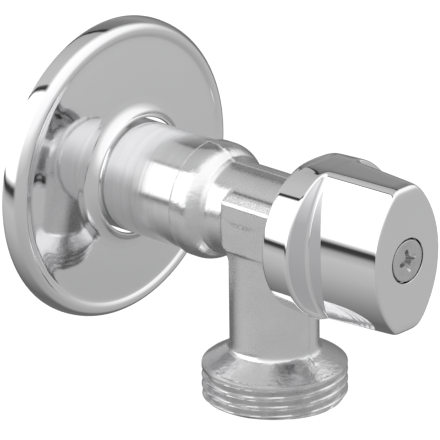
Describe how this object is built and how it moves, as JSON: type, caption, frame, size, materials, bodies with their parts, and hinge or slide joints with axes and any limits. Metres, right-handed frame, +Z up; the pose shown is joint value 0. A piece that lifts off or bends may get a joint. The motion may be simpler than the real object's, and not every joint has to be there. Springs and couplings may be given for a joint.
{
  "type": "angle ball valve",
  "caption": "Quarter-turn angle ball valve: threaded wall inlet with sliding rosette, downward threaded hose outlet and a lens-shaped knob on the inlet's axis.",
  "frame": {"origin": "on the inlet axis in the wall plane, where the inlet thread starts", "axes": "+Y along the inlet into the wall, -Y towards the knob, +Z up, the outlet points down (-Z), +X to the right seen from the knob"},
  "size_m": [0.0562, 0.0863, 0.0623],
  "materials": {
    "chromed_brass_cast": "chrome over cast brass: turned spigot with fine lathe marks, satin neck, rough casting in the corners",
    "chromed_sheet": "mirror chrome on pressed sheet",
    "chromed_knob": "mirror chrome",
    "chromed_ball": "polished",
    "screw_steel": "plated screw with a satin head",
    "brass": "machined brass",
    "spring_steel": "blued spring steel",
    "seal_white": "white low-friction seal plastic",
    "white_plastic": "moulded plastic",
    "black_rubber": "black sealing rubber"
  },
  "bodies": {
    "body": {"valve_body": "chromed_brass_cast", "inlet_seat": "seal_white", "outlet_seat": "seal_white", "outlet_seat_o_ring": "black_rubber", "seat_retainer": "brass", "stem_seat": "seal_white", "bonnet": "brass", "bonnet_o_ring": "black_rubber", "thrust_washer": "seal_white"},
    "handle": {"knob": "chromed_knob", "knob_screw": "screw_steel", "knob_insert": "white_plastic", "ball_stem": "brass", "ball": "chromed_ball", "stop_plate": "brass", "retaining_clip": "spring_steel", "stem_o_ring_inner": "black_rubber", "stem_o_ring_outer": "black_rubber"},
    "rosette": {"wall_rosette": "chromed_sheet"}
  },
  "joints": [
    {"name": "knob_turn", "type": "hinge", "parent": "body", "child": "handle", "pos_m": [0, -0.0404, 0], "axis": [0, 1, 0], "range_deg": [0, 90]},
    {"name": "rosette_slide", "type": "slide", "parent": "body", "child": "rosette", "axis": [0, -1, 0], "range_m": [0, 0.0158]}
  ]
}
